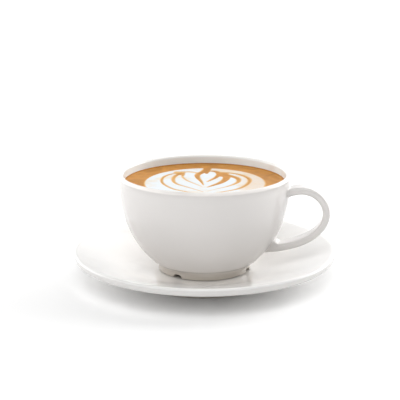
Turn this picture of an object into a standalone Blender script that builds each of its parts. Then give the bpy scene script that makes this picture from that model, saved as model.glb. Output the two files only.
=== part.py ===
"""A latte in its white glazed cup, standing on its saucer.

The origin is on the floor at the centre of the saucer. The handle points along +X.
Every size below is in metres, every angle in degrees.
"""

import math

import bmesh
import bpy
import numpy as np
from mathutils import Vector

# Shared
GAP = 0.0003
SIDES = 64

# Saucer: a coupe dish on a turned foot ring, its edge rounded a little above and more below
SAUCER_RADIUS = 0.0806
SAUCER_HEIGHT = 0.0183
SAUCER_EDGE = 0.0045
SAUCER_EDGE_TOP_ROUND = 0.0013
SAUCER_EDGE_LOW_ROUND = (0.0018, 0.0024)
SAUCER_EDGE_LOW_TURNS = (0.0, 30.0, 55.0, 78.0)
SAUCER_WELL_RADIUS = 0.0305
SAUCER_WELL_HEIGHT = 0.0052
SAUCER_WELL_THICKNESS = 0.0037
SAUCER_FOOT_RADIUS = 0.0440
SAUCER_FOOT_WIDTH = 0.0042
SAUCER_FOOT_ROUND = 0.0006
SAUCER_UNDER_START = 0.0036
SAUCER_SLOPE_BENDS = ((0.0420, 0.0052), (0.0560, 0.0122))
SAUCER_UNDER_BENDS = ((0.0660, 0.0106), (0.0540, 0.0060))

# Cup: the outside is half an ellipse turned round the axis, on a short foot ring
BOWL_RADIUS = 0.0520
BOWL_CENTRE_HEIGHT = 0.0575
BOWL_DEPTH = 0.0583
BOWL_STEPS = 12
WALL = 0.0030
INNER_DEPTH = 0.0542
INNER_FLOOR = 0.0125
INNER_STEPS = 6
FLOOR_ROUND_HEIGHT = 0.0012
FLOOR_ROUND_WIDTH = 0.0036
RIM_HEIGHT = 0.0656
RIM_ROUND = 0.0015
RIM_RADIUS = 0.0525
LIP_START = -38.0
LIP_STEPS = 8
NECK_LOW = (0.0518, 0.0602)
NECK_HIGH = (0.0517, 0.0617)
CUP_BASE = SAUCER_WELL_HEIGHT + GAP
CUP_FOOT_RADIUS = 0.0286
CUP_FOOT_WIDTH = 0.0038
CUP_FOOT_ROUND = 0.0006
CUP_FOOT_SIDE = 0.0016
CUP_FOOT_BENDS = ((0.0286, 0.0096), (0.0296, 0.0104))
CUP_FOOT_TOP = 0.0118
CUP_RECESS_HEIGHT = 0.0086
CUP_RECESS_SLOPE = 0.0012

# Drain notches in the cup's foot ring, wider at the bottom
NOTCH_TURNS = (115.0, 245.0, 348.0)
NOTCH_LOW_WIDTH = 0.0064
NOTCH_HIGH_WIDTH = 0.0036
NOTCH_HEIGHT = 0.0023
NOTCH_OVERRUN = 0.0020

# Handle: a flat strap bent into an ear, given by the middle of its thickness
STRAP_THICKNESS = 0.0044
STRAP_WIDTH = 0.0122
STRAP_CORNER = 0.0015
STRAP_TOP = (0.0605, 0.0575)
STRAP_REACH = (0.0750, 0.0435)
STRAP_LOWER = (0.0610, 0.0261)
STRAP_LOWER_SLOPE = 25.7
STRAP_UPPER_ROOT = (0.0496, 0.0546)
STRAP_UPPER_BENDS = ((0.0528, 0.0562), (0.0565, 0.0575))
STRAP_LOWER_ROOT = (0.0395, 0.0204)
STRAP_LOWER_ROOT_BEND = (0.0465, 0.0210)
STRAP_REACH_PULL = 0.0080
STRAP_LOWER_PULL = 0.0070
QUARTER_PULL = 0.5523
STRAP_LINE_STEPS = 24
STRAP_RINGS = 30
STRAP_CORNER_STEPS = 3
STRAP_FACE_STEPS = 4

# Fillets where the handle joins the bowl: the radius below the strap and above it
UPPER_FILLET = (0.0018, 0.0009)
LOWER_FILLET = (0.0016, 0.0026)
FILLET_STEPS = 4
FILLET_DIP = 0.00002
FILLET_SEARCHES = 40
STRAP_SINK = 0.0010
STRAP_INNER_RUN = 0.0080

# Drink, and the figure of milk foam poured on it
DRINK_HEIGHT = 0.0596
FOAM_THICKNESS = 0.0005
FIGURE_TURN = 10.0
FIGURE_HALF_WIDTH = 0.0368
FIGURE_HALF_LENGTH = 0.0395
FIGURE_MIDDLE = (0.0003, -0.0050)
FIGURE_SIDES = 56
LINE_STEPS = 4
CUTTER_OVERRUN = 0.0010

# Lines of coffee drawn through the foam, in the figure's own plane, in millimetres.
# Each has the points that its curve runs through, and half widths at start, middle and end.
FOAM_LINES = (
    (((1.0, 42.0), (1.0, 31.0), (-1.0, 22.0), (-4.6, 14.0), (-3.6, 5.0), (-1.8, -4.0), (-1.2, -12.0)),
     (3.6, 1.9, 0.3)),
    (((2.0, 27.0), (7.0, 24.0), (10.0, 18.0), (9.5, 10.5), (6.0, 3.0), (2.8, -4.0), (1.8, -9.0)),
     (0.8, 1.7, 0.3)),
    (((-13.0, 20.5), (-21.0, 17.5), (-25.8, 8.0), (-25.5, -6.0), (-19.0, -20.5), (-10.0, -28.5),
      (-3.5, -32.5)),
     (0.9, 0.9, 0.3)),
    (((-14.0, 19.0), (-18.0, 11.0), (-19.3, 2.0), (-17.0, -8.0), (-10.0, -17.0), (-2.5, -26.5)),
     (1.3, 0.9, 0.3)),
    (((-5.8, 18.5), (-10.0, 20.5), (-13.3, 14.0), (-13.0, 4.0), (-8.0, -8.0), (-2.4, -19.0)),
     (0.7, 0.6, 0.3)),
    (((11.5, 17.5), (13.0, 13.0), (14.0, 5.0), (11.0, -4.0), (6.0, -12.0), (2.4, -17.0)),
     (2.6, 2.3, 0.3)),
    (((13.0, 11.0), (17.5, 8.5), (20.7, 3.0), (20.0, -6.0), (14.0, -15.5), (7.0, -22.0), (2.4, -26.0)),
     (1.8, 0.9, 0.3)),
    (((9.0, 21.5), (17.0, 18.5), (24.0, 12.0), (27.0, 3.0), (25.8, -9.0), (20.0, -20.5), (11.0, -28.0),
      (3.5, -32.0)),
     (0.8, 1.2, 0.3)),
)


def clear_scene():
    for thing in list(bpy.data.objects):
        bpy.data.objects.remove(thing, do_unlink=True)


def finish_material(name, colour, roughness):
    """One surface finish, as a Principled shader."""
    material = bpy.data.materials.new(name)
    material.use_nodes = True
    shader = material.node_tree.nodes["Principled BSDF"]
    shader.inputs["Base Color"].default_value = (*colour, 1.0)
    shader.inputs["Roughness"].default_value = roughness
    shader.inputs["Metallic"].default_value = 0.0
    return material


def add_object(name, mesh, material):
    thing = bpy.data.objects.new(name, mesh)
    bpy.context.scene.collection.objects.link(thing)
    thing.data.materials.append(material)
    return thing


def shade_round(mesh):
    """Smooth shading that keeps the edges sharper than 35 degrees."""
    mesh.shade_smooth()
    mesh.set_sharp_from_angle(angle=math.radians(35.0))


def hide_guide(thing):
    thing.hide_render = True
    thing.display_type = "WIRE"


def combine(thing, guide, operation):
    """Adds or cuts away a hidden guide solid by a Boolean."""
    hide_guide(guide)
    modifier = thing.modifiers.new(guide.name, "BOOLEAN")
    modifier.operation = operation
    modifier.object = guide
    modifier.solver = "EXACT"


def arc(centre_r, centre_z, radius, start, end, steps):
    """Points of a profile's arc, from one angle to another, +R being 0 and +Z being 90."""
    return [(centre_r + radius * math.cos(angle), centre_z + radius * math.sin(angle))
            for angle in np.radians(np.linspace(start, end, steps + 1))]


def bezier(p0, p1, p2, p3, steps):
    """Points of a cubic curve, both ends included."""
    points = []
    for t in np.linspace(0.0, 1.0, steps + 1):
        weights = ((1 - t) ** 3, 3 * (1 - t) ** 2 * t, 3 * (1 - t) * t * t, t ** 3)
        points.append(tuple(sum(w * p[i] for w, p in zip(weights, (p0, p1, p2, p3))) for i in range(2)))
    return points


def smooth_curve(points, steps):
    """Points of a Catmull-Rom curve that runs through all the given points."""
    p = np.array(points, float)
    p = np.vstack([2 * p[0] - p[1], p, 2 * p[-1] - p[-2]])
    out = []
    for i in range(1, len(p) - 2):
        for t in np.linspace(0.0, 1.0, steps, endpoint=False):
            straight = 2 * p[i] + (p[i + 1] - p[i - 1]) * t
            bend = (2 * p[i - 1] - 5 * p[i] + 4 * p[i + 1] - p[i + 2]) * t * t
            twist = (3 * p[i] - p[i - 1] - 3 * p[i + 1] + p[i + 2]) * t ** 3
            out.append(0.5 * (straight + bend + twist))
    out.append(p[-2])
    return np.array(out)


def turned(name, profile, material):
    """A solid turned round the Z axis from a profile of (radius, height) points, axis to axis."""
    mesh = bpy.data.meshes.new(name)
    bm = bmesh.new()
    verts = [bm.verts.new((r, 0.0, z)) for r, z in profile]
    edges = [bm.edges.new(pair) for pair in zip(verts, verts[1:])]
    bmesh.ops.spin(bm, geom=verts + edges, axis=(0, 0, 1), cent=(0, 0, 0), angle=2 * math.pi, steps=SIDES)
    bmesh.ops.remove_doubles(bm, verts=bm.verts, dist=0.00001)
    bmesh.ops.recalc_face_normals(bm, faces=bm.faces)
    bm.to_mesh(mesh)
    bm.free()
    shade_round(mesh)
    return add_object(name, mesh, material)


def prism(name, outline, low, high, material):
    """A flat outline of (x, y) points, raised from one height to another."""
    mesh = bpy.data.meshes.new(name)
    bm = bmesh.new()
    face = bm.faces.new([bm.verts.new((x, y, low)) for x, y in outline])
    raised = bmesh.ops.extrude_face_region(bm, geom=[face])
    tops = [v for v in raised["geom"] if isinstance(v, bmesh.types.BMVert)]
    bmesh.ops.translate(bm, verts=tops, vec=(0, 0, high - low))
    bmesh.ops.recalc_face_normals(bm, faces=bm.faces)
    bm.to_mesh(mesh)
    bm.free()
    return add_object(name, mesh, material)


def make_saucer(glaze):
    """The dish: level well, slope up to the rim, rounded edge, sloping underside and foot ring."""
    round_top = SAUCER_EDGE_TOP_ROUND
    round_in, round_up = SAUCER_EDGE_LOW_ROUND
    edge_low = SAUCER_HEIGHT - SAUCER_EDGE
    rim_r = SAUCER_RADIUS - round_top
    foot_out = SAUCER_FOOT_RADIUS
    foot_in = SAUCER_FOOT_RADIUS - SAUCER_FOOT_WIDTH
    base = SAUCER_WELL_HEIGHT - SAUCER_WELL_THICKNESS
    profile = [(0.0, SAUCER_WELL_HEIGHT)]
    profile += bezier((SAUCER_WELL_RADIUS, SAUCER_WELL_HEIGHT), *SAUCER_SLOPE_BENDS,
                      (rim_r, SAUCER_HEIGHT), 7)
    profile += arc(rim_r, SAUCER_HEIGHT - round_top, round_top, 60, 0, 2)
    for angle in np.radians(SAUCER_EDGE_LOW_TURNS):
        profile.append((SAUCER_RADIUS - round_in * (1 - math.cos(angle)),
                        edge_low + round_up * (1 - math.sin(angle))))
    profile += bezier(profile[-1], *SAUCER_UNDER_BENDS, (foot_out, SAUCER_UNDER_START), 4)[1:]
    profile += [(foot_out, SAUCER_FOOT_ROUND), (foot_out - SAUCER_FOOT_ROUND, 0.0),
                (foot_in + SAUCER_FOOT_ROUND, 0.0), (foot_in, SAUCER_FOOT_ROUND),
                (foot_in - SAUCER_FOOT_ROUND, base), (0.0, base)]
    return turned("saucer", profile, glaze)


def inside_wall(shrink=0.0):
    """Profile points down the bowl's inner face to its rounded floor, moved in by a gap if asked."""
    radius = BOWL_RADIUS - WALL - shrink
    depth = INNER_DEPTH - shrink
    floor = INNER_FLOOR + shrink
    end = math.asin((BOWL_CENTRE_HEIGHT - INNER_FLOOR - FLOOR_ROUND_HEIGHT) / INNER_DEPTH)
    points = [(radius * math.cos(angle), BOWL_CENTRE_HEIGHT - depth * math.sin(angle))
              for angle in np.linspace(0.0, end, INNER_STEPS + 1)]
    return points + [(points[-1][0] - FLOOR_ROUND_WIDTH, floor), (0.0, floor)]


def bowl_profile():
    """The cup's wall without handle: from under the foot up the outside, over the lip, down the inside."""
    foot_in = CUP_FOOT_RADIUS - CUP_FOOT_WIDTH
    profile = [(0.0, CUP_RECESS_HEIGHT), (foot_in - CUP_RECESS_SLOPE, CUP_RECESS_HEIGHT),
               (foot_in, CUP_BASE + CUP_FOOT_ROUND), (foot_in + CUP_FOOT_ROUND, CUP_BASE)]
    profile += arc(CUP_FOOT_RADIUS - CUP_FOOT_ROUND, CUP_BASE + CUP_FOOT_ROUND, CUP_FOOT_ROUND, -90, 0, 2)
    start = math.asin((BOWL_CENTRE_HEIGHT - CUP_FOOT_TOP) / BOWL_DEPTH)
    bowl = [(BOWL_RADIUS * math.cos(angle), BOWL_CENTRE_HEIGHT - BOWL_DEPTH * math.sin(angle))
            for angle in np.linspace(start, 0.0, BOWL_STEPS + 1)]
    profile += bezier((CUP_FOOT_RADIUS, CUP_BASE + CUP_FOOT_ROUND + CUP_FOOT_SIDE), *CUP_FOOT_BENDS,
                      bowl[0], 4)
    profile += bowl[1:] + [NECK_LOW, NECK_HIGH]
    profile += arc(RIM_RADIUS - RIM_ROUND, RIM_HEIGHT - RIM_ROUND, RIM_ROUND, LIP_START, 180, LIP_STEPS)
    return profile + inside_wall()


def bowl_level(point):
    """The bowl's ellipse as a level that is 1 on its outer face, and the level's slope."""
    drop = point[2] - BOWL_CENTRE_HEIGHT
    slope = Vector((point[0] / BOWL_RADIUS ** 2, point[1] / BOWL_RADIUS ** 2, drop / BOWL_DEPTH ** 2))
    level = math.sqrt(point[0] * slope[0] + point[1] * slope[1] + drop * slope[2])
    return level, slope / level


def height_above_bowl(point):
    """Distance from a point to the bowl's outer face, minus inside it."""
    level, slope = bowl_level(point)
    return (level - 1.0) / slope.length


def strap_line():
    """The handle's middle line in the XZ plane, from the upper root round to the lower one.

    It gives the run so far, the place and the direction at each point, and goes on straight into
    the bowl at both ends, so that a section point's way into the bowl is always found.
    """
    slope = math.radians(STRAP_LOWER_SLOPE)
    pull = np.array((math.cos(slope), math.sin(slope))) * STRAP_LOWER_PULL
    top, reach, lower = np.array(STRAP_TOP), np.array(STRAP_REACH), np.array(STRAP_LOWER)
    steps = STRAP_LINE_STEPS
    path = bezier(STRAP_UPPER_ROOT, *STRAP_UPPER_BENDS, top, steps)
    path += bezier(top, (top[0] + QUARTER_PULL * (reach[0] - top[0]), top[1]),
                   (reach[0], reach[1] + QUARTER_PULL * (top[1] - reach[1])), reach, steps)[1:]
    path += bezier(reach, (reach[0], reach[1] - STRAP_REACH_PULL), lower + pull, lower, steps)[1:]
    path += bezier(lower, lower - pull, STRAP_LOWER_ROOT_BEND, STRAP_LOWER_ROOT, steps)[1:]
    path = np.array(path)
    first, last = path[0] - path[1], path[-1] - path[-2]
    path = np.vstack([path[0] + first / np.linalg.norm(first) * STRAP_INNER_RUN, path,
                      path[-1] + last / np.linalg.norm(last) * STRAP_INNER_RUN])
    run = np.concatenate([[0.0], np.cumsum(np.linalg.norm(np.diff(path, axis=0), axis=1))])
    return run, path, np.gradient(path, run, axis=0)


def strap_section():
    """The strap's cross-section, a flat rectangle with softened corners.

    Each entry is a point and its outward direction, both as (along the thickness, along the width).
    """
    half_t = STRAP_THICKNESS / 2 - STRAP_CORNER
    half_w = STRAP_WIDTH / 2 - STRAP_CORNER
    sides = np.linspace(-half_w, half_w, STRAP_FACE_STEPS + 1)[1:-1]
    section = []
    for sign_t, sign_w, start in ((1, 1, 0), (-1, 1, 90), (-1, -1, 180), (1, -1, 270)):
        for angle in np.radians(np.linspace(start, start + 90, STRAP_CORNER_STEPS + 1)):
            out = (math.cos(angle), math.sin(angle))
            corner = (sign_t * half_t + STRAP_CORNER * out[0], sign_w * half_w + STRAP_CORNER * out[1])
            section.append((corner, out))
        if sign_w == 1 and sign_t == -1:
            section += [((-half_t - STRAP_CORNER, side), (-1.0, 0.0)) for side in sides[::-1]]
    return section + [((half_t + STRAP_CORNER, side), (1.0, 0.0)) for side in sides]


def strap_spot(line, place, point, out):
    """One section point at a place on the strap's line, and the strap's outward direction there."""
    run, path, ahead = line
    centre = [np.interp(place, run, path[:, i]) for i in range(2)]
    along = Vector([np.interp(place, run, ahead[:, i]) for i in range(2)]).normalized()
    rise = (-along[1], along[0])
    spot = Vector((centre[0] + rise[0] * point[0], point[1], centre[1] + rise[1] * point[0]))
    return spot, Vector((rise[0] * out[0], out[1], rise[1] * out[0]))


def root_fillet(line, point, out, inside, outside, radii):
    """Where the strap comes out of its fillet at one root, and the fillet's points up to there.

    The fillet is what a ball leaves that rolls round the root and touches both strap and bowl.
    """
    for _ in range(FILLET_SEARCHES):
        place = (inside + outside) / 2
        spot, outward = strap_spot(line, place, point, out)
        radius = radii[0] + (radii[1] - radii[0]) * (outward.z + 1) / 2
        ball = spot + outward * radius
        if height_above_bowl(ball) < radius - FILLET_DIP:
            inside = place
        else:
            outside = place
    to_bowl = -bowl_level(ball)[1].normalized()
    fillet = [ball + to_bowl.slerp(-outward, t) * radius for t in np.linspace(0.0, 1.0, FILLET_STEPS + 1)]
    return place, [fillet[0] + to_bowl * STRAP_SINK] + fillet


def make_handle(glaze):
    """The strap swept along its line, with a fillet at each root and both ends sunk in the wall."""
    line = strap_line()
    whole = line[0][-1]
    mesh = bpy.data.meshes.new("handle")
    bm = bmesh.new()
    columns = []
    for point, out in strap_section():
        start, upper = root_fillet(line, point, out, 0.0, whole / 2, UPPER_FILLET)
        end, lower = root_fillet(line, point, out, whole, whole / 2, LOWER_FILLET)
        strap = [strap_spot(line, place, point, out)[0]
                 for place in np.linspace(start, end, STRAP_RINGS + 1)[1:-1]]
        columns.append([bm.verts.new(spot) for spot in upper + strap + lower[::-1]])
    for column, following in zip(columns, columns[1:] + columns[:1]):
        for i in range(len(column) - 1):
            bm.faces.new((column[i], following[i], following[i + 1], column[i + 1]))
    bm.faces.new([column[0] for column in columns])
    bm.faces.new([column[-1] for column in reversed(columns)])
    bmesh.ops.recalc_face_normals(bm, faces=bm.faces)
    bm.to_mesh(mesh)
    bm.free()
    shade_round(mesh)
    return add_object("handle", mesh, glaze)


def make_notch(turn, glaze):
    """A guide that cuts one slot through the foot ring, where water drains in the dishwasher."""
    low, high = NOTCH_LOW_WIDTH / 2, NOTCH_HIGH_WIDTH / 2
    below, above = CUP_BASE - NOTCH_OVERRUN, CUP_BASE + NOTCH_HEIGHT
    outline = [(-low, below), (low, below), (low, CUP_BASE),
               (high, above), (-high, above), (-low, CUP_BASE)]
    notch = prism(f"notch_{turn:.0f}", outline, CUP_FOOT_RADIUS - CUP_FOOT_WIDTH - NOTCH_OVERRUN,
                  CUP_FOOT_RADIUS + NOTCH_OVERRUN, glaze)
    notch.rotation_euler = (math.radians(90.0), 0.0, math.radians(turn + 90.0))
    return notch


def make_cup(glaze):
    cup = turned("cup", bowl_profile(), glaze)
    combine(cup, make_handle(glaze), "UNION")
    for turn in NOTCH_TURNS:
        combine(cup, make_notch(turn, glaze), "DIFFERENCE")
    return cup


def make_coffee(crema):
    """The drink, a solid that fills the bowl up to its level."""
    wall = inside_wall(GAP)
    profile = [(0.0, DRINK_HEIGHT), (wall[0][0], DRINK_HEIGHT)] + wall
    return turned("coffee", profile, crema)


def turn_figure(points):
    """Turns the figure's plane so that its stem points to the drinker, beside the handle."""
    turn = math.radians(FIGURE_TURN)
    return [(x * math.cos(turn) - y * math.sin(turn), x * math.sin(turn) + y * math.cos(turn))
            for x, y in points]


def line_outline(points, half_widths):
    """The outline of one tapering line of coffee, in metres, on the drink and turned with the figure."""
    line = smooth_curve(points, LINE_STEPS)
    last = len(line) - 1
    start, middle, end = half_widths
    left, right = [], []
    for i, spot in enumerate(line):
        t = i / last
        half = (1 - t) ** 2 * start + 2 * (1 - t) * t * middle + t * t * end
        ahead = line[min(i + 1, last)] - line[max(i - 1, 0)]
        across = np.array((-ahead[1], ahead[0])) / np.linalg.norm(ahead) * half
        left.append(spot + across)
        right.append(spot - across)
    return turn_figure([tuple(p * 0.001) for p in left + right[::-1]])


def make_foam(foam):
    """The poured figure: an oval of milk foam, with the coffee's lines cut out as slots."""
    middle_x, middle_y = FIGURE_MIDDLE
    oval = [(middle_x + FIGURE_HALF_WIDTH * math.cos(turn), middle_y + FIGURE_HALF_LENGTH * math.sin(turn))
            for turn in np.linspace(0.0, 2 * math.pi, FIGURE_SIDES, endpoint=False)]
    low = DRINK_HEIGHT + GAP
    high = low + FOAM_THICKNESS
    figure = prism("milk_foam", turn_figure(oval), low, high, foam)
    for i, (points, half_widths) in enumerate(FOAM_LINES):
        outline = line_outline(points, half_widths)
        cutter = prism(f"line_{i}", outline, low - CUTTER_OVERRUN, high + CUTTER_OVERRUN, foam)
        combine(figure, cutter, "DIFFERENCE")
    return figure


def build():
    clear_scene()
    glaze = finish_material("glazed_ceramic", (0.86, 0.85, 0.83), 0.12)
    crema = finish_material("coffee_crema", (0.52, 0.27, 0.09), 0.25)
    foam = finish_material("milk_foam", (0.90, 0.86, 0.80), 0.35)
    make_saucer(glaze)
    make_cup(glaze)
    make_coffee(crema)
    make_foam(foam)


build()
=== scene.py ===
"""The looks of a latte: a white glazed cup on its saucer, filled to near the rim, with a poured
figure of milk foam."""

import math

import bmesh
import bpy
import numpy as np
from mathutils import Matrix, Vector


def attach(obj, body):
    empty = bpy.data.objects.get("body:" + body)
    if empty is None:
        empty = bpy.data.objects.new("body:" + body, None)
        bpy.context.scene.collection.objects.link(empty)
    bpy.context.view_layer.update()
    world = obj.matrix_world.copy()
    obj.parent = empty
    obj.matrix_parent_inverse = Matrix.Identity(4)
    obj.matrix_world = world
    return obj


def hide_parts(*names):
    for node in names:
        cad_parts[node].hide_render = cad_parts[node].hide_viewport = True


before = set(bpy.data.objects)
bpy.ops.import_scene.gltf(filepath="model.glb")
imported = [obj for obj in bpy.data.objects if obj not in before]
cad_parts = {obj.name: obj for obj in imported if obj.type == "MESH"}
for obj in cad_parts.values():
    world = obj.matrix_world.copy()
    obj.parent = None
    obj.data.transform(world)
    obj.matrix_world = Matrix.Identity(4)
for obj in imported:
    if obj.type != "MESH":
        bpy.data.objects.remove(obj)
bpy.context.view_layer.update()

# Camera
# It looks a little down on the cup from slightly to the handle's side, through a long lens.
# It aims at the bowl's upper half, and its shift sets the cup a touch right of the picture's middle.
CAMERA_TURN = math.radians(10.0)
CAMERA_RISE = math.radians(14.52)
CAMERA_DISTANCE = 0.6305
CAMERA_AIM = Vector((0.0, 0.0, 0.04815))
CAMERA_LENS = 92.3
CAMERA_SHIFT = -0.0114
CAMERA_NEAREST = 0.01

camera = bpy.data.objects.new("camera", bpy.data.cameras.new("camera"))
bpy.context.scene.collection.objects.link(camera)
towards_camera = Vector((math.sin(CAMERA_TURN) * math.cos(CAMERA_RISE),
                         -math.cos(CAMERA_TURN) * math.cos(CAMERA_RISE),
                         math.sin(CAMERA_RISE)))
camera.location = CAMERA_AIM + towards_camera * CAMERA_DISTANCE
camera.rotation_mode = "QUATERNION"
camera.rotation_quaternion = (-towards_camera).to_track_quat("-Z", "Y")
camera.data.lens = CAMERA_LENS
camera.data.shift_x = CAMERA_SHIFT
camera.data.clip_start = CAMERA_NEAREST
bpy.context.scene.camera = camera
bpy.context.scene.view_settings.view_transform = "Standard"


# The saucer
# Jiggered stoneware, one turned shape: a level well, a long slope up to a softened square edge and
# a foot ring below. It is glazed all over except where the foot ring stands.
SAUCER_RADIUS = 0.0806
SAUCER_HEIGHT = 0.0183
SAUCER_EDGE = 0.0045
EDGE_TOP_ROUND = 0.0013
EDGE_LOW_ROUND = (0.0018, 0.0024)
WELL_RADIUS = 0.0305
WELL_HEIGHT = 0.0052
SLOPE_GUIDES = ((0.0420, WELL_HEIGHT), (0.0560, 0.0122))
SLOPE_END = 0.0004
UNDER_GUIDES = ((0.0660, 0.0106), (0.0540, 0.0060))
UNDER_END = (0.0450, 0.0039)
SAUCER_FOOT_RADIUS = 0.0440
SAUCER_FOOT_WIDTH = 0.0042
SAUCER_FOOT_TOP = 0.0036
SAUCER_FOOT_FLARE = 0.0006
SAUCER_FOOT_GUIDES = (0.0030, 0.0020)
SAUCER_FOOT_SIDE = 0.0008
SAUCER_FOOT_ROUND = 0.0006
SAUCER_BASE_HEIGHT = 0.0015
SAUCER_BASE_ROUND = (0.0004, 0.0012)
MIDDLE_GAP = 0.0040
TURNED_SIDES = 288
WELL_POINTS, SLOPE_STEPS, LOW_EDGE_POINTS, UNDER_STEPS, BASE_POINTS = 9, 44, 12, 20, 6
FOOT_STEPS, FOOT_ROUND_STEPS = 5, 4

# The saucer's white is set lighter than the cup's, which is the same glaze: painted light.
SAUCER_LIT_WHITE = (0.825, 0.816, 0.801, 1.0)
# A lighter white in the well: painted light where the cup shades the saucer.
WELL_LIGHT_WHITE = (0.890, 0.872, 0.846, 1.0)
WELL_LIGHT_EDGE = (0.0480, 0.0680)
# A darker white on the outer side of the saucer's edge: painted shade.
SIDE_SHADE = (0.700, 0.687, 0.670, 1.0)
SIDE_SHADE_START = (0.0780, 0.0796)
SIDE_SHADE_TOP = (0.0168, 0.0180)
# How high above the saucer's foot its painted shade reaches.
SAUCER_SHADE_HEIGHT = 0.0040
GLAZE_SHADE = (0.725, 0.703, 0.683, 1.0)
# A darker, warmer colour for a band just above the foot: painted shade under the ware.
FOOT_SHADE = (0.600, 0.545, 0.475, 1.0)
GLAZE_ROUGHNESS = 0.10
GLAZE_IOR = 1.52
BARE_CLAY = (0.600, 0.555, 0.495, 1.0)
CLAY_ROUGHNESS = 0.62
FOOT_LINE = 0.0003

# How many clouds, waves in the painted foot shade's top edge, dimples, sways and grains there are to a metre,
# and how far each shows.
CLOUD_COUNT, CLOUD_RANGE, CLOUD_ROUGHNESS = 38.0, (0.1, 0.5), 0.03
SHADE_WAVE_COUNT, SHADE_WAVE_HEIGHT, SHADE_FADE_START = 95.0, 0.0020, 0.0010
PEEL_COUNT, PEEL_SHARE = 420.0, 0.25
SWAY_COUNT, SWAY_SHARE = 60.0, 0.75
GRAIN_COUNT, GRAIN_SHARE = 2600.0, 0.40
GLAZE_SKIN_STRENGTH, GLAZE_SKIN_DEPTH = 0.06, 0.0006


class Wire:
    """A socket in a material's nodes. Sums of wires and numbers add the Math nodes that work them out."""

    def __init__(self, tree, socket=None):
        self.tree = tree
        self.socket = socket

    def node(self, kind, settings=None, inputs=None, output=0):
        """Adds any other node: first its settings, then the values or wires of its sockets."""
        made = self.tree.nodes.new("ShaderNode" + kind)
        for name, value in (settings or {}).items():
            setattr(made, name, value)
        for name, value in (inputs or {}).items():
            if isinstance(value, Wire):
                self.tree.links.new(value.socket, made.inputs[name])
            else:
                made.inputs[name].default_value = value
        return Wire(self.tree, made.outputs[output])

    def math(self, operation, *values):
        """Adds the Math node that works out one operation on wires and numbers."""
        return self.node("Math", {"operation": operation}, dict(enumerate(values)))

    def __add__(self, other):
        return self.math("ADD", self, other)

    __radd__ = __add__

    def __sub__(self, other):
        return self.math("SUBTRACT", self, other)

    def __rsub__(self, other):
        return self.math("SUBTRACT", other, self)

    def __mul__(self, other):
        return self.math("MULTIPLY", self, other)

    __rmul__ = __mul__

    def smooth(self, low, high):
        """Goes softly from 0 at low to 1 at high."""
        return self.node("MapRange", {"interpolation_type": "SMOOTHSTEP"},
                         {"Value": self, "From Min": low, "From Max": high})

    def level_length(self):
        """A place's distance from the Z axis."""
        level = self.node("VectorMath", {"operation": "MULTIPLY"}, {0: self, 1: (1.0, 1.0, 0.0)})
        return self.node("VectorMath", {"operation": "LENGTH"}, {0: level}, output="Value")

    def noise(self, count, detail, distortion=0.0):
        """Clouds at a place, count to the metre. More detail adds finer ones, distortion twists them."""
        return self.node("TexNoise", None, {"Vector": self, "Scale": count, "Detail": detail,
                                            "Distortion": distortion})

    def cells(self, count):
        """Round cells at a place, count to the metre: 0 at the middle of each."""
        return self.node("TexVoronoi", None, {"Vector": self, "Scale": count})

    def relief(self, strength, depth):
        """The normal of a surface that is raised where this wire is high."""
        return self.node("Bump", None, {"Strength": strength, "Distance": depth, "Height": self})

    def mix(self, first, second):
        """The first colour where this wire is 0, the second where it is 1."""
        # The node has a set of sockets for each kind of data. Inputs 6 and 7 and output 2 are colours.
        return self.node("Mix", {"data_type": "RGBA"}, {0: self, 6: first, 7: second}, output=2)


def new_finish(name):
    """An empty material, its shader, and the place on the object as a wire to build from."""
    material = bpy.data.materials.new(name)
    material.use_nodes = True
    tree = material.node_tree
    return material, tree.nodes["Principled BSDF"], Wire(tree).node("TexCoord", output="Object")


def wire_up(shader, **wires):
    """Links wires to the shader's sockets, named with _ for a space."""
    for name, wire in wires.items():
        wire.tree.links.new(wire.socket, shader.inputs[name.replace("_", " ")])


def white_glaze(name, white, foot_height, shade_height):
    """Glossy glaze with a faint orange-peel skin, for ware whose foot ring stands at foot_height.

    white gives its colour from the distance to the axis and the height. Within the given height above
    the foot it is painted darker and warmer, as shade under the ware, and it is wiped off where the ring
    stands.
    """
    material, shader, place = new_finish(name)
    height = place.node("SeparateXYZ", None, {"Vector": place}, output="Z")
    cloud = place.noise(CLOUD_COUNT, detail=3.0)
    run = place.noise(SHADE_WAVE_COUNT, detail=2.0)
    peel = place.noise(PEEL_COUNT, detail=2.0)
    sway = place.noise(SWAY_COUNT, detail=1.0)
    grain = place.noise(GRAIN_COUNT, detail=3.0)
    glazed = height.smooth(foot_height + FOOT_LINE / 2, foot_height + FOOT_LINE)
    # Painted shade: a darker, warmer band just above the foot, its top edge waved by noise.
    painted_shade = 1 - (height + run * SHADE_WAVE_HEIGHT).smooth(foot_height + SHADE_FADE_START, foot_height + shade_height)
    glaze_above_shade = cloud.smooth(*CLOUD_RANGE).mix(GLAZE_SHADE, white(place.level_length(), height))
    glaze = painted_shade.mix(glaze_above_shade, FOOT_SHADE)
    colour = glazed.mix(grain.mix(BARE_CLAY, GLAZE_SHADE), glaze)
    roughness = CLAY_ROUGHNESS - glazed * (CLAY_ROUGHNESS - GLAZE_ROUGHNESS) + cloud * CLOUD_ROUGHNESS
    skin = peel * PEEL_SHARE + sway * SWAY_SHARE + (1 - glazed) * grain * GRAIN_SHARE
    wire_up(shader, Base_Color=colour, Roughness=roughness,
            Normal=skin.relief(GLAZE_SKIN_STRENGTH, GLAZE_SKIN_DEPTH))
    shader.inputs["IOR"].default_value = GLAZE_IOR
    return material


def arc(centre_r, centre_z, radius, start, end, steps):
    """Points of a profile's arc, from one angle to another in degrees, +R being 0 and +Z being 90."""
    return [(centre_r + radius * math.cos(a), centre_z + radius * math.sin(a))
            for a in np.radians(np.linspace(start, end, steps + 1))]


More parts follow.
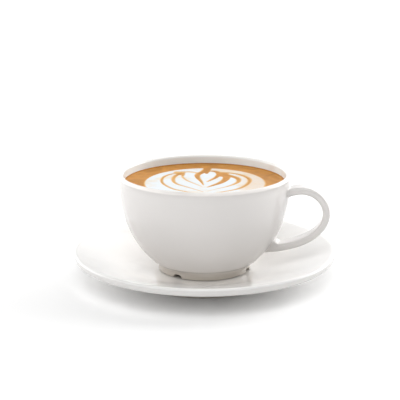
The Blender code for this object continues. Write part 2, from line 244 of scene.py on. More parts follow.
def bow(start, leave, arrive, end, steps):
    """Points of a curve that sets off from start towards leave and comes in to end from arrive."""
    points = []
    for t in np.linspace(0.0, 1.0, steps + 1):
        weights = ((1 - t) ** 3, 3 * (1 - t) ** 2 * t, 3 * (1 - t) * t * t, t ** 3)
        points.append(tuple(sum(w * p[i] for w, p in zip(weights, (start, leave, arrive, end)))
                            for i in range(2)))
    return points


def thrown(name, profile, sides=TURNED_SIDES):
    """A smooth solid turned round the Z axis from a profile that starts and ends on the axis."""
    angles = np.linspace(0.0, 2 * math.pi, sides, endpoint=False)
    inner = [point for point in profile if point[0] > 0.0]
    verts = [(r * math.cos(a), r * math.sin(a), z) for r, z in inner for a in angles]
    first, last = len(verts), len(verts) + 1
    verts += [(0.0, 0.0, profile[0][1]), (0.0, 0.0, profile[-1][1])]
    faces = []
    for ring in range(len(inner) - 1):
        low, high = ring * sides, (ring + 1) * sides
        for k in range(sides):
            j = (k + 1) % sides
            faces.append((low + k, high + k, high + j, low + j))
    top = (len(inner) - 1) * sides
    for k in range(sides):
        j = (k + 1) % sides
        faces.append((first, k, j))
        faces.append((last, top + j, top + k))
    return closed_piece(name, verts, faces)


def closed_piece(name, verts, faces):
    """A named object from a closed mesh, its faces turned outward and shaded smooth."""
    mesh = bpy.data.meshes.new(name)
    mesh.from_pydata(verts, [], faces)
    bm = bmesh.new()
    bm.from_mesh(mesh)
    bmesh.ops.recalc_face_normals(bm, faces=bm.faces)
    bm.to_mesh(mesh)
    bm.free()
    mesh.shade_smooth()
    piece = bpy.data.objects.new(name, mesh)
    bpy.context.scene.collection.objects.link(piece)
    return piece


def saucer_profile():
    """Half the saucer's section, from the middle of the well over the edge to the middle of its base."""
    rim_r = SAUCER_RADIUS - EDGE_TOP_ROUND
    low_z = SAUCER_HEIGHT - SAUCER_EDGE
    round_in, round_up = EDGE_LOW_ROUND
    profile = [(0.0, WELL_HEIGHT)]
    profile += [(r, WELL_HEIGHT) for r in np.linspace(MIDDLE_GAP, WELL_RADIUS, WELL_POINTS)]
    profile += bow(profile[-1], *SLOPE_GUIDES, (rim_r - SLOPE_END, SAUCER_HEIGHT), SLOPE_STEPS)[1:]
    profile += arc(rim_r, SAUCER_HEIGHT - EDGE_TOP_ROUND, EDGE_TOP_ROUND, start=80, end=0, steps=9)
    profile += [(SAUCER_RADIUS - round_in * (1 - math.cos(a)), low_z + round_up * (1 - math.sin(a)))
                for a in np.radians(np.linspace(0.0, 80.0, LOW_EDGE_POINTS))]
    profile += bow(profile[-1], *UNDER_GUIDES, UNDER_END, UNDER_STEPS)[1:]

    foot = SAUCER_FOOT_RADIUS
    inner = foot - SAUCER_FOOT_WIDTH
    base = SAUCER_BASE_HEIGHT
    leave_z, arrive_z = SAUCER_FOOT_GUIDES
    near, far = SAUCER_BASE_ROUND
    profile += bow((foot + SAUCER_FOOT_FLARE, SAUCER_FOOT_TOP), (foot, leave_z), (foot, arrive_z),
                   (foot, SAUCER_FOOT_SIDE), FOOT_STEPS)
    for centre, start, end in ((foot - SAUCER_FOOT_ROUND, -10, -90), (inner + SAUCER_FOOT_ROUND, -90, -170)):
        profile += arc(centre, SAUCER_FOOT_ROUND, SAUCER_FOOT_ROUND, start, end, FOOT_ROUND_STEPS)
    profile += bow((inner, SAUCER_FOOT_SIDE), (inner, base), (inner - near, base), (inner - far, base),
                   FOOT_STEPS)
    profile += [(r, base) for r in np.linspace(inner - MIDDLE_GAP, MIDDLE_GAP, BASE_POINTS)]
    return profile + [(0.0, base)]


def saucer_white(radius, height):
    """The saucer's white, lighter in the well as painted light, and darker on its edge's outer side as
    painted shade.
    """
    # Painted shade on the edge's outer side, and painted light in the well.
    side = radius.smooth(*SIDE_SHADE_START) * (1 - height.smooth(*SIDE_SHADE_TOP))
    return side.mix(radius.smooth(*WELL_LIGHT_EDGE).mix(WELL_LIGHT_WHITE, SAUCER_LIT_WHITE), SIDE_SHADE)


saucer = thrown("saucer_ware", saucer_profile())
saucer.data.materials.append(white_glaze("saucer_glaze", saucer_white, 0.0, SAUCER_SHADE_HEIGHT))
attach(saucer, "root")
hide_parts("saucer")


# The cup
# One piece of stoneware: a turned bowl with a rolled lip and short foot ring, and a strap handle
# luted to it before firing, so that its roots run out into the wall. Three notches let water drain
# from under the foot.
BOWL_RADIUS = 0.0520
BOWL_CENTRE_HEIGHT = 0.0575
BOWL_DEPTH = 0.0583
BOWL_STEPS = 60
WALL = 0.0030
INNER_DEPTH = 0.0542
INNER_FLOOR = 0.0125
FLOOR_ROUND_HEIGHT = 0.0012
FLOOR_ROUND_WIDTH = 0.0036
RIM_HEIGHT = 0.0656
RIM_ROUND = 0.0015
RIM_RADIUS = 0.0525
NECK_START = 0.0003
NECK_GUIDES = ((BOWL_RADIUS, 0.0597), (0.0513, 0.0612))
CUP_BASE = 0.0055
CUP_FOOT_RADIUS = 0.0286
CUP_FOOT_WIDTH = 0.0038
CUP_FOOT_ROUND = 0.0006
CUP_FOOT_SIDE = 0.0016
CUP_FOOT_GUIDES = ((CUP_FOOT_RADIUS, 0.0096), (0.0296, 0.0104))
CUP_FOOT_TOP = 0.0118
CUP_RECESS = 0.0086
CUP_RECESS_ROUND = (0.0012, 0.0003, 0.0008)
NOTCH_TURNS = (115.0, 245.0, 348.0)
NOTCH_LOW_WIDTH = 0.0064
NOTCH_HIGH_WIDTH = 0.0036
NOTCH_HEIGHT = 0.0023
NOTCH_SIDE = 0.0012
NOTCH_ARCH = (0.0004, 0.0009)
NOTCH_BELOW = 0.0010
NOTCH_REACH = 0.0020
SHARP_ANGLE = math.radians(40.0)

# The strap's line is given in the XZ plane, from its upper root over its top and reach to its lower root.
STRAP_THICKNESS = 0.0044
STRAP_WIDTH = 0.0122
STRAP_CORNER = 0.0015
STRAP_CORNER_POINTS = 9
STRAP_FLAT_POINTS = 14
STRAP_UPPER_ROOT = (0.0496, 0.0546)
STRAP_UPPER_GUIDES = ((0.0528, 0.0562), (0.0565, 0.0575))
STRAP_TOP = (0.0605, 0.0575)
STRAP_SHOULDER = 0.5523
STRAP_REACH = (0.0750, 0.0435)
STRAP_DROP = 0.0080
STRAP_LOWER = (0.0610, 0.0261)
STRAP_LOWER_SLOPE = math.radians(25.7)
STRAP_LOWER_RUN = 0.0070
STRAP_LOWER_GUIDE = (0.0465, 0.0210)
STRAP_LOWER_ROOT = (0.0395, 0.0204)
STRAP_CURVE_STEPS = 24
STRAP_INNER_RUN = 0.0080
STRAP_RINGS = 110
STRAP_SINK = 0.0010

# Each root's fillet has one radius under the strap and another over it.
UPPER_FILLET = (0.0018, 0.0009)
LOWER_FILLET = (0.0016, 0.0026)
FILLET_STEPS = 8
FILLET_HALVINGS = 32
FILLET_TOUCH = 0.00002

# The cup's white is set darker than the saucer's, which is the same glaze: painted shade.
CUP_SHADED_WHITE = (0.722, 0.698, 0.680, 1.0)
# A lighter, cooler white on the inner wall: painted light.
INSIDE_LIT_WHITE = (0.850, 0.930, 0.960, 1.0)
INSIDE_LIGHT_START = (0.0500, 0.0560)
# A brighter white over the lip: a painted highlight.
LIP_HIGHLIGHT_WHITE = (0.900, 0.865, 0.835, 1.0)
LIP_HIGHLIGHT_START = (0.0633, 0.0645)
# How high above the cup's foot its painted shade reaches.
CUP_SHADE_HEIGHT = 0.0100


def inside_wall(shrink, steps):
    """Profile points down the bowl's inner face to its rounded floor, moved in by shrink."""
    radius = BOWL_RADIUS - WALL - shrink
    depth = INNER_DEPTH - shrink
    end = math.asin((BOWL_CENTRE_HEIGHT - INNER_FLOOR - FLOOR_ROUND_HEIGHT) / INNER_DEPTH)
    points = [(radius * math.cos(angle), BOWL_CENTRE_HEIGHT - depth * math.sin(angle))
              for angle in np.linspace(0.0, end, steps + 1)]
    return points + [(points[-1][0] - FLOOR_ROUND_WIDTH, INNER_FLOOR + shrink), (0.0, INNER_FLOOR + shrink)]


def bowl_profile():
    """Half the bowl's section, from under the foot up the outside, over the lip and down the inside."""
    foot_r = CUP_FOOT_RADIUS
    foot_z = CUP_BASE + CUP_FOOT_ROUND
    inner_foot = foot_r - CUP_FOOT_WIDTH
    round_start, round_end, round_drop = CUP_RECESS_ROUND
    profile = [(0.0, CUP_RECESS), (inner_foot - round_start, CUP_RECESS),
               (inner_foot - round_end, CUP_RECESS - round_drop)]
    profile += arc(inner_foot + CUP_FOOT_ROUND, foot_z, CUP_FOOT_ROUND, start=180, end=270, steps=4)
    profile += arc(foot_r - CUP_FOOT_ROUND, foot_z, CUP_FOOT_ROUND, start=-90, end=0, steps=5)
    low = math.asin((BOWL_CENTRE_HEIGHT - CUP_FOOT_TOP) / BOWL_DEPTH)
    profile += bow((foot_r, foot_z + CUP_FOOT_SIDE), *CUP_FOOT_GUIDES,
                   (BOWL_RADIUS * math.cos(low), CUP_FOOT_TOP), steps=12)
    profile += [(BOWL_RADIUS * math.cos(angle), BOWL_CENTRE_HEIGHT - BOWL_DEPTH * math.sin(angle))
                for angle in np.linspace(low, 0.0, BOWL_STEPS + 1)[1:]]
    lip = arc(RIM_RADIUS - RIM_ROUND, RIM_HEIGHT - RIM_ROUND, RIM_ROUND, start=-30, end=180, steps=22)
    profile += bow((BOWL_RADIUS, BOWL_CENTRE_HEIGHT + NECK_START), *NECK_GUIDES, lip[0], steps=10)[1:-1]
    return profile + lip + inside_wall(shrink=0.0, steps=40)


def bowl_level(point):
    """The bowl's ellipse as a level that is 1 on its outer face, and the level's slope."""
    drop = point[2] - BOWL_CENTRE_HEIGHT
    level = math.sqrt((point[0] ** 2 + point[1] ** 2) / BOWL_RADIUS ** 2 + drop ** 2 / BOWL_DEPTH ** 2)
    slope = Vector((point[0] / BOWL_RADIUS ** 2, point[1] / BOWL_RADIUS ** 2, drop / BOWL_DEPTH ** 2)) / level
    return level, slope


def height_above_bowl(point):
    """How far a point near the bowl lies outside its outer face."""
    level, slope = bowl_level(point)
    return (level - 1.0) / slope.length


def strap_line():
    """The handle's middle line in the XZ plane: run so far, place and direction at each of its points.

    It goes on straight into the bowl at both ends, so that the way into the bowl is always found.
    """
    top, reach, lower = np.array(STRAP_TOP), np.array(STRAP_REACH), np.array(STRAP_LOWER)
    over = (top[0] + STRAP_SHOULDER * (reach[0] - top[0]), top[1])
    beside = (reach[0], reach[1] + STRAP_SHOULDER * (top[1] - reach[1]))
    below = (reach[0], reach[1] - STRAP_DROP)
    run = STRAP_LOWER_RUN * np.array((math.cos(STRAP_LOWER_SLOPE), math.sin(STRAP_LOWER_SLOPE)))
    path = [STRAP_UPPER_ROOT]
    for stretch in ((STRAP_UPPER_ROOT, *STRAP_UPPER_GUIDES, top), (top, over, beside, reach),
                    (reach, below, lower + run, lower),
                    (lower, lower - run, STRAP_LOWER_GUIDE, STRAP_LOWER_ROOT)):
        path += bow(*stretch, steps=STRAP_CURVE_STEPS)[1:]
    path = np.array(path)
    first, last = path[0] - path[1], path[-1] - path[-2]
    path = np.vstack([path[0] + first / np.linalg.norm(first) * STRAP_INNER_RUN, path,
                      path[-1] + last / np.linalg.norm(last) * STRAP_INNER_RUN])
    length = np.concatenate([[0.0], np.cumsum(np.linalg.norm(np.diff(path, axis=0), axis=1))])
    return length, path, np.gradient(path, length, axis=0)


def strap_section():
    """The strap's section, a flat rectangle with softened corners: points with their outward directions."""
    half_t = STRAP_THICKNESS / 2 - STRAP_CORNER
    half_w = STRAP_WIDTH / 2 - STRAP_CORNER
    section = []
    for sign_t, sign_w, start in ((1, 1, 0), (-1, 1, 90), (-1, -1, 180), (1, -1, 270)):
        for angle in np.radians(np.linspace(start, start + 90, STRAP_CORNER_POINTS)):
            out = (math.cos(angle), math.sin(angle))
            section.append(((sign_t * half_t + STRAP_CORNER * out[0],
                             sign_w * half_w + STRAP_CORNER * out[1]), out))
        if sign_t != sign_w:
            face = sign_t * (half_t + STRAP_CORNER)
            flat = np.linspace(sign_w * half_w, -sign_w * half_w, STRAP_FLAT_POINTS)[1:-1]
            section += [((face, side), (float(sign_t), 0.0)) for side in flat]
    return section


def strap_spot(line, place, point, out):
    """One section point at a place on the strap's line, and the strap's outward direction there."""
    length, path, ahead = line
    centre = [np.interp(place, length, path[:, i]) for i in range(2)]
    along = Vector([np.interp(place, length, ahead[:, i]) for i in range(2)]).normalized()
    rise = (-along[1], along[0])
    spot = Vector((centre[0] + rise[0] * point[0], point[1], centre[1] + rise[1] * point[0]))
    return spot, Vector((rise[0] * out[0], out[1], rise[1] * out[0]))


def root_fillet(line, point, out, inside, outside, radii):
    """Where the strap comes out of its fillet at one root, and the fillet's points up to there.

    The fillet is what a ball leaves that rolls round the root and touches both strap and bowl.
    """
    under, over = radii
    for _ in range(FILLET_HALVINGS):
        place = (inside + outside) / 2
        spot, outward = strap_spot(line, place, point, out)
        radius = under + (over - under) * (outward.z + 1) / 2
        ball = spot + outward * radius
        if height_above_bowl(ball) < radius - FILLET_TOUCH:
            inside = place
        else:
            outside = place
    to_bowl = -bowl_level(ball)[1].normalized()
    fillet = [ball + to_bowl.slerp(-outward, t) * radius for t in np.linspace(0.0, 1.0, FILLET_STEPS + 1)]
    return place, [fillet[0] + to_bowl * STRAP_SINK] + fillet


def strap_handle(name):
    """The strap swept along its line, with a fillet at each root and both ends sunk in the wall."""
    line = strap_line()
    whole = line[0][-1]
    columns = []
    for point, out in strap_section():
        start, upper = root_fillet(line, point, out, 0.0, whole / 2, UPPER_FILLET)
        end, lower = root_fillet(line, point, out, whole, whole / 2, LOWER_FILLET)
        strap = [strap_spot(line, place, point, out)[0]
                 for place in np.linspace(start, end, STRAP_RINGS + 1)[1:-1]]
        columns.append(upper + strap + lower[::-1])
    size, length = len(columns), len(columns[0])
    verts = [spot for column in columns for spot in column]
    faces = []
    for k in range(size):
        here, there = k * length, (k + 1) % size * length
        faces += [(here + i, there + i, there + i + 1, here + i + 1) for i in range(length - 1)]
    faces.append(tuple(k * length for k in range(size)))
    faces.append(tuple(k * length + length - 1 for k in reversed(range(size))))
    return closed_piece(name, verts, faces)


def drain_notch(name, turn):
    """The arched slot that is cut through the foot ring at one place."""
    low, high, top = NOTCH_LOW_WIDTH / 2, NOTCH_HIGH_WIDTH / 2, CUP_BASE + NOTCH_HEIGHT
    wider, narrower = NOTCH_ARCH
    side = bow((low, CUP_BASE), (low, CUP_BASE + NOTCH_SIDE), (high + wider, top), (high - narrower, top),
               steps=10)
    below = CUP_BASE - NOTCH_BELOW
    outline = [(low, below)] + side + [(-x, z) for x, z in side[::-1]] + [(-low, below)]
    ends = (CUP_FOOT_RADIUS - CUP_FOOT_WIDTH - NOTCH_REACH, CUP_FOOT_RADIUS + NOTCH_REACH)
    verts = [(reach * math.cos(turn) - x * math.sin(turn), reach * math.sin(turn) + x * math.cos(turn), z)
             for reach in ends for x, z in outline]
    size = len(outline)
    faces = [(k, (k + 1) % size, size + (k + 1) % size, size + k) for k in range(size)]
    faces += [tuple(range(size)), tuple(range(2 * size - 1, size - 1, -1))]
    return closed_piece(name, verts, faces)


def combine(piece, other, operation):
    """Joins another solid to a piece, or cuts it away, and removes it."""
    modifier = piece.modifiers.new(other.name, "BOOLEAN")
    modifier.operation = operation
    modifier.object = other
    modifier.solver = "EXACT"
    bpy.context.view_layer.objects.active = piece
    bpy.ops.object.modifier_apply(modifier=modifier.name)
    bpy.data.objects.remove(other)


def cup_white(radius, height):
    """The cup's white, with a painted highlight over the lip and painted light, lighter and cooler, on the
    inner wall.
    """
    outward = radius.smooth(BOWL_RADIUS - WALL, RIM_RADIUS - RIM_ROUND)
    # Painted light on the inner wall.
    inside = (1 - outward) * height.smooth(*INSIDE_LIGHT_START)
    # Painted highlight over the lip.
    lip = outward * height.smooth(*LIP_HIGHLIGHT_START)
    return lip.mix(inside.mix(CUP_SHADED_WHITE, INSIDE_LIT_WHITE), LIP_HIGHLIGHT_WHITE)


cup = thrown("cup_ware", bowl_profile())
combine(cup, strap_handle("strap"), "UNION")
for index, turn in enumerate(NOTCH_TURNS):
    combine(cup, drain_notch(f"notch_{index}", math.radians(turn)), "DIFFERENCE")
cup.data.shade_smooth()
cup.data.set_sharp_from_angle(angle=SHARP_ANGLE)
cup.data.materials.append(white_glaze("cup_glaze", cup_white, CUP_BASE, CUP_SHADE_HEIGHT))
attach(cup, "root")
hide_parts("cup")


# The drink
# Espresso mixed with steamed milk, filled to 5 mm below the rim. Its top is a skin of fine brown
# crema that climbs a little at the wall, and it reaches just into the wall so that no gap shows.
DRINK_LEVEL = 0.0602
WALL_REACH = 0.0002
CLIMB_HEIGHT = 0.0004
CLIMB_WIDTH = 0.0012
SURFACE_SIDES = 360
SURFACE_RINGS = 128

# The poured figure is worked out in millimetres in its own plane, away from the drinker being +Y.
MILLIMETRES = 1000.0
FIGURE_TURN = math.radians(10.0)
FIGURE_HALF_WIDTH = 36.8
FIGURE_HALF_LENGTH = 39.5
FIGURE_MIDDLE = (0.3, -5.0)
OVAL_BLUR = 1.1
LINE_BLUR = 0.75
LINE_STEPS = 10

# Where the foam's milk share is cut, so that it is thinner and darker: painted shade towards its right side
# and its far end, less so at the left, and the front lip's painted shadow at its near end.
SHADE_SHARE = 0.27
SHADE_RIGHT = (12.0, 28.0)
SHADE_FAR = (12.0, 28.0)
SHADE_FAR_LEFT = 0.5
SHADE_FAR_TURN = (-8.0, 12.0)
LIP_SHADOW_NEAR = (-24.0, -38.0)

# Lines of crema through the foam. Each has the points that its curve runs through, its half widths
# at start, middle and end, and how brown it is at its start and end.
FOAM_LINES = (
    (((1.9, 42.0), (1.7, 33.0), (-0.4, 25.0), (-4.2, 16.5), (-4.2, 8.0), (-2.1, -2.0), (-0.6, -12.0)),
     (2.4, 2.3, 0.3), (1.0, 0.75)),
    (((2.0, 32.0), (1.4, 24.5), (1.2, 19.0)),
     (1.9, 1.6, 0.6), (1.0, 1.0)),
    (((2.2, 26.0), (5.7, 26.0), (8.6, 22.0), (8.8, 16.0), (6.8, 8.0), (3.8, 1.5), (1.3, -3.5)),
     (1.0, 2.3, 0.3), (1.0, 0.85)),
    (((-13.0, 20.5), (-21.0, 17.5), (-25.8, 8.0), (-25.5, -6.0), (-19.0, -20.5), (-10.0, -28.5),
      (-2.5, -33.0)),
     (1.0, 1.0, 0.5), (0.85, 0.55)),
    (((-15.2, 19.5), (-18.4, 12.0), (-19.3, 2.0), (-17.0, -8.0), (-10.0, -17.0), (-1.0, -28.0)),
     (1.5, 1.1, 0.4), (0.8, 0.5)),
    (((-17.4, 22.5), (-15.5, 21.0), (-13.6, 15.0)),
     (2.3, 2.2, 1.4), (0.55, 0.5)),
    (((-14.2, 23.4), (-9.6, 23.6), (-5.2, 21.5)),
     (1.4, 1.2, 1.2), (0.5, 0.4)),
    (((-13.4, 18.0), (-13.6, 9.5), (-10.8, 0.5), (-6.6, -7.0), (-1.6, -15.5)),
     (0.8, 1.0, 0.4), (0.5, 0.5)),
    (((10.0, 20.0), (10.8, 11.5)),
     (2.0, 1.8, 1.2), (1.0, 1.0)),
    (((9.6, 20.5), (12.2, 19.0), (13.6, 11.0), (12.8, 3.0), (9.6, -5.5), (5.2, -12.0), (1.6, -17.0)),
     (2.2, 2.9, 0.4), (1.0, 0.85)),
    (((13.5, 14.5), (17.6, 10.5), (20.6, 5.0), (20.2, -4.0), (14.5, -14.0), (7.0, -21.5), (1.5, -27.0)),
     (2.4, 0.9, 0.3), (1.0, 0.35)),
    (((10.0, 22.0), (17.0, 20.0), (24.0, 13.5), (27.6, 3.0), (25.8, -9.0), (20.0, -20.5), (11.0, -28.0),
      (3.0, -32.5)),
     (0.9, 1.4, 0.4), (0.9, 0.55)),
)

CREMA_NEAR_WALL = (0.400, 0.170, 0.040, 1.0)
CREMA_DARK = (0.465, 0.202, 0.036, 1.0)
CREMA_BROWN = (0.590, 0.264, 0.050, 1.0)
CREMA_PALE = (0.730, 0.450, 0.180, 1.0)
FOAM_CREAM = (0.755, 0.690, 0.590, 1.0)
FOAM_WHITE = (0.742, 0.780, 0.812, 1.0)
WALL_DARK_START = 0.0476
TAN_RANGE = (0.05, 0.55)
WHITE_RANGE = (0.45, 0.95)
CREMA_ROUGHNESS = 0.36
MILK_ROUGHNESS = 0.14
DRINK_IOR = 1.34
DRINK_GLOSS = 0.08

# How many swirls, clouds, specks, bubbles and cells of froth there are to a metre, and how far each shows.
SWIRL_COUNT, SWIRL_TWIST, SWIRL_RANGE = 70.0, 1.4, (0.32, 0.68)
FOAM_CLOUD_COUNT, FOAM_CLOUD_RANGE = 90.0, (0.28, 0.55)
SPECK_COUNT, SPECK_SHARE, SPECK_IN_MILK, SPECK_ROUGHNESS = 900.0, 0.5, 0.10, 0.10
BUBBLE_COUNT, BUBBLE_SHARE = 1500.0, 0.3
FROTH_COUNT, FROTH_SHARE = 520.0, 0.2
DOT_SIZE, DOT_PLACES, DOT_SHARE = (0.10, 0.34), (0.52, 0.62), 0.35
DRINK_SKIN_STRENGTH, DRINK_SKIN_DEPTH = 0.15, 0.0003


def soft_step(low, high, values):
    """Goes softly from 0 at low to 1 at high."""
    t = np.clip((values - low) / (high - low), 0.0, 1.0)
    return t * t * (3 - 2 * t)


def smooth_curve(points, steps):
    """Points of a smooth curve that runs through all the given points."""
    p = np.array(points, float)
    p = np.vstack([2 * p[0] - p[1], p, 2 * p[-1] - p[-2]])
    out = []
    for i in range(1, len(p) - 2):
        for t in np.linspace(0.0, 1.0, steps, endpoint=False):
            straight = 2 * p[i] + (p[i + 1] - p[i - 1]) * t
            bend = (2 * p[i - 1] - 5 * p[i] + 4 * p[i + 1] - p[i + 2]) * t * t
            twist = (3 * p[i] - p[i - 1] - 3 * p[i + 1] + p[i + 2]) * t ** 3
            out.append(0.5 * (straight + bend + twist))
    out.append(p[-2])
    return np.array(out)


def line_brown(x, y, points, half_widths, browns):
    """How brown one line makes each place: 1 well inside it, falling to 0 past its blurred edge."""
    line = smooth_curve(points, LINE_STEPS)
    t = np.linspace(0.0, 1.0, len(line))
    start, middle, end = half_widths
    half = (1 - t) ** 2 * start + 2 * (1 - t) * t * middle + t * t * end
    brown = browns[0] + (browns[1] - browns[0]) * t
    strongest = np.zeros_like(x)
    for i in range(len(line) - 1):
        step = line[i + 1] - line[i]
        along = np.clip(((x - line[i][0]) * step[0] + (y - line[i][1]) * step[1]) / (step @ step), 0.0, 1.0)
        away = np.hypot(x - line[i][0] - along * step[0], y - line[i][1] - along * step[1])
        away = away - (half[i] + (half[i + 1] - half[i]) * along)
        here = (1 - soft_step(-LINE_BLUR, LINE_BLUR, away)) * (brown[i] + (brown[i + 1] - brown[i]) * along)
        strongest = np.maximum(strongest, here)
    return strongest


def milk_amount(x, y):
    """Share of milk foam in the drink's skin at places given in metres: 0 is crema, 1 is white foam."""
    u = (x * math.cos(FIGURE_TURN) + y * math.sin(FIGURE_TURN)) * MILLIMETRES
    v = (y * math.cos(FIGURE_TURN) - x * math.sin(FIGURE_TURN)) * MILLIMETRES
    oval = np.hypot((u - FIGURE_MIDDLE[0]) / FIGURE_HALF_WIDTH, (v - FIGURE_MIDDLE[1]) / FIGURE_HALF_LENGTH)
    milk = 1 - soft_step(-OVAL_BLUR, OVAL_BLUR, (oval - 1.0) * FIGURE_HALF_WIDTH)
    # Painted shade: less milk, so darker and lower foam, towards the right and far side, and the front lip's
    # painted shadow at the near end.
    far_shade = soft_step(*SHADE_FAR, v) * (SHADE_FAR_LEFT + (1 - SHADE_FAR_LEFT) * soft_step(*SHADE_FAR_TURN, u))
    painted_shade = np.maximum(soft_step(*SHADE_RIGHT, u), np.maximum(far_shade, soft_step(*LIP_SHADOW_NEAR, v)))
    milk = milk * (1 - SHADE_SHARE * painted_shade)
    for points, half_widths, browns in FOAM_LINES:
        milk = milk * (1 - line_brown(u, v, points, half_widths, browns))
    return milk


def mark_milk(piece):
    """Stores the share of milk on a piece's points, for its material."""
    spots = np.empty(len(piece.data.vertices) * 3)
    piece.data.vertices.foreach_get("co", spots)
    spots = spots.reshape(-1, 3)
    milk = piece.data.attributes.new("milk", "FLOAT", "POINT")
    milk.data.foreach_set("value", milk_amount(spots[:, 0], spots[:, 1]).astype(np.float32))


def drink_skin(name):
    """The drink's surface: brown crema, darker near the wall, tan where milk mixes in, white foam."""
    material, shader, place = new_finish(name)
    milk = place.node("Attribute", {"attribute_name": "milk"}, output="Fac")
    swirl = place.noise(SWIRL_COUNT, detail=5.0, distortion=SWIRL_TWIST)
    cloud = place.noise(FOAM_CLOUD_COUNT, detail=4.0)
    speck = place.noise(SPECK_COUNT, detail=2.0)
    bubbles = place.cells(BUBBLE_COUNT)
    froth = place.cells(FROTH_COUNT)
    share = milk + (speck - 0.5) * SPECK_IN_MILK
    pale_dots = (1 - froth.smooth(*DOT_SIZE)) * speck.smooth(*DOT_PLACES) * DOT_SHARE
    # The crema grows darker towards the wall.
    near_wall = place.level_length().smooth(WALL_DARK_START, BOWL_RADIUS - WALL)
    crema = pale_dots.mix(swirl.smooth(*SWIRL_RANGE).mix(CREMA_DARK, CREMA_BROWN), CREMA_PALE)
    tan = share.smooth(*TAN_RANGE).mix(near_wall.mix(crema, CREMA_NEAR_WALL), CREMA_PALE)
    foam = cloud.smooth(*FOAM_CLOUD_RANGE).mix(FOAM_CREAM, FOAM_WHITE)
    colour = share.smooth(*WHITE_RANGE).mix(tan, foam)
    roughness = CREMA_ROUGHNESS + milk * MILK_ROUGHNESS + speck * SPECK_ROUGHNESS
    skin = speck * SPECK_SHARE + bubbles * BUBBLE_SHARE + froth * FROTH_SHARE
    wire_up(shader, Base_Color=colour, Roughness=roughness,
            Normal=skin.relief(DRINK_SKIN_STRENGTH, DRINK_SKIN_DEPTH))
    shader.inputs["IOR"].default_value = DRINK_IOR
    shader.inputs["Specular IOR Level"].default_value = DRINK_GLOSS
    return material


def drink_profile():
    """Half the drink's section: the level top with its climb at the wall, then down inside the wall."""
    edge = BOWL_RADIUS - WALL
    profile = [(0.0, DRINK_LEVEL)]
    for r in np.linspace(0.0, edge, SURFACE_RINGS + 1)[1:]:
        climb = max(0.0, 1 - (edge - r) / CLIMB_WIDTH)
        profile.append((r, DRINK_LEVEL + CLIMB_HEIGHT * climb * climb))
    wall = inside_wall(shrink=-WALL_REACH, steps=24)
    return profile + [(wall[0][0], DRINK_LEVEL + CLIMB_HEIGHT)] + wall


skin_finish = drink_skin("drink_skin")
drink = thrown("drink", drink_profile(), SURFACE_SIDES)
mark_milk(drink)
drink.data.materials.append(skin_finish)
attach(drink, "root")
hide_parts("coffee")


# The poured figure
# Steamed milk foam poured on the crema and drawn out into a leaf of nested petals round a small heart.
# It floats almost level with the drink, a little proud, and thins to nothing at the edge of each petal.
FIGURE_REACH = 0.0475
GRID_STEP = 0.00042
EDGE_MOVES = 4
EDGE_MOVE = GRID_STEP / 5
PROBE = 0.00002
FOAM_EDGE = 0.30
FOAM_FULL = 0.85
FOAM_RISE = 0.00030
FOAM_DIP = 0.00010
FOAM_DRAUGHT = 0.0006


def whole_patches(cells):
    """Drops cells that touch others by a corner alone, until none is left."""
    while True:
        a, b, c, d = cells[:-1, :-1], cells[:-1, 1:], cells[1:, :-1], cells[1:, 1:]
        falling = a & d & ~b & ~c
        rising = b & c & ~a & ~d
        if not (falling | rising).any():
            return cells
        cells = cells.copy()
        cells[1:, 1:][falling] = False
        cells[1:, :-1][rising] = False


def foam_figure(name):
    """The figure as one closed sheet: raised top, level underside sunk in the drink.

    It is cut from a fine grid of cells, and its border is then moved onto the foam's true edge.
    """
    axis = np.arange(-FIGURE_REACH, FIGURE_REACH, GRID_STEP)
    x, y = np.meshgrid(axis, axis)
    kept = milk_amount(x, y) > FOAM_EDGE
    cells = whole_patches(kept[:-1, :-1] & kept[1:, :-1] & kept[:-1, 1:] & kept[1:, 1:])
    rows, columns = np.nonzero(cells)
    around = ((0, 0), (0, 1), (1, 1), (1, 0))
    used = np.zeros(kept.shape, bool)
    for down, right in around:
        used[rows + down, columns + right] = True
    number = np.full(kept.shape, -1)
    number[used] = np.arange(used.sum())
    x, y = x[used], y[used]
    total = len(x)
    corners = np.array([number[rows + down, columns + right] for down, right in around]).T
    faces = [tuple(face) for face in corners.tolist()]

    open_sides = {}
    for face in faces:
        for edge in zip(face, face[1:] + face[:1]):
            if open_sides.pop(edge[::-1], None) is None:
                open_sides[edge] = True
    border = np.unique(np.array(list(open_sides)).ravel())
    for _ in range(EDGE_MOVES):
        here = milk_amount(x[border], y[border])
        slope_x = (milk_amount(x[border] + PROBE, y[border]) - here) / PROBE
        slope_y = (milk_amount(x[border], y[border] + PROBE) - here) / PROBE
        steep = slope_x ** 2 + slope_y ** 2 + 1.0
        step = np.clip((here - FOAM_EDGE) / steep * np.array((slope_x, slope_y)), -EDGE_MOVE, EDGE_MOVE)
        x[border] -= step[0]
        y[border] -= step[1]

    lift = soft_step(FOAM_EDGE, FOAM_FULL, milk_amount(x, y))
    top = DRINK_LEVEL - FOAM_DIP + (FOAM_RISE + FOAM_DIP) * lift
    verts = list(zip(x, y, top)) + list(zip(x, y, np.full(total, DRINK_LEVEL - FOAM_DRAUGHT)))
    faces += [tuple(c + total for c in reversed(face)) for face in faces]
    faces += [(b, a, a + total, b + total) for a, b in open_sides]
    return closed_piece(name, verts, faces)


figure = foam_figure("foam_figure")
mark_milk(figure)
figure.data.materials.append(skin_finish)
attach(figure, "root")
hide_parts("milk_foam")


# Floor and light
# A plain white table in a white studio. Each soft panel is a patch of the surroundings that glows most
# at its middle and fades to nothing at its edge. The camera itself sees even white past the table.
FLOOR_HALF = 4.0
FLOOR_WHITE = (0.99, 0.99, 0.99, 1.0)
FLOOR_ROUGHNESS = 0.9
FLOOR_GLOSS = 0.1
BACKDROP_COLOUR = (1.0, 1.0, 1.0, 1.0)
BACKDROP_WHITE = 1.0

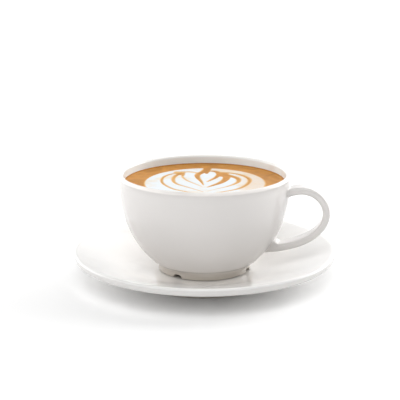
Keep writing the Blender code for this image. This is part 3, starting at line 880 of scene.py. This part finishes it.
# Where each panel's middle is (right, away from the camera, up), the cosine at which it ends, and
# its strength.
SOFT_PANELS = (
    ((0.0, 1.0, 0.2), 0.70, 1.05),
    ((1.0, 1.0, 0.6), 0.60, 1.38),
    ((1.0, 0.5, 0.4), 0.88, 5.20),
    ((-1.0, 0.7, 0.2), 0.70, 2.30),
    ((-1.0, 0.0, 0.2), 0.20, 0.86),
    ((0.0, -1.0, 1.0), 0.50, 0.42),
    ((0.0, -1.0, 1.6), 0.88, 3.00),
)

floor_mesh = bpy.data.meshes.new("floor")
floor_mesh.from_pydata([(-FLOOR_HALF, -FLOOR_HALF, 0.0), (FLOOR_HALF, -FLOOR_HALF, 0.0),
                        (FLOOR_HALF, FLOOR_HALF, 0.0), (-FLOOR_HALF, FLOOR_HALF, 0.0)], [], [(0, 1, 2, 3)])
floor = bpy.data.objects.new("floor", floor_mesh)
bpy.context.scene.collection.objects.link(floor)
floor_finish, floor_shader, _ = new_finish("floor_white")
floor_shader.inputs["Base Color"].default_value = FLOOR_WHITE
floor_shader.inputs["Roughness"].default_value = FLOOR_ROUGHNESS
floor_shader.inputs["Specular IOR Level"].default_value = FLOOR_GLOSS
floor_mesh.materials.append(floor_finish)

world = bpy.data.worlds.new("studio")
world.use_nodes = True
bpy.context.scene.world = world
studio = Wire(world.node_tree)
direction = studio.node("TexCoord", output="Generated")
glow = 0.0
for (right, away, up), edge, strength in SOFT_PANELS:
    middle = Vector((right * math.cos(CAMERA_TURN) - away * math.sin(CAMERA_TURN),
                     right * math.sin(CAMERA_TURN) + away * math.cos(CAMERA_TURN), up)).normalized()
    facing = studio.node("VectorMath", {"operation": "DOT_PRODUCT"}, {0: direction, 1: middle},
                         output="Value")
    glow = glow + facing.smooth(edge, 1.0) * strength
seen = studio.node("LightPath", output="Is Camera Ray")
backdrop = world.node_tree.nodes["Background"]
backdrop.inputs["Color"].default_value = BACKDROP_COLOUR
wire_up(backdrop, Strength=glow + seen * (BACKDROP_WHITE - glow))
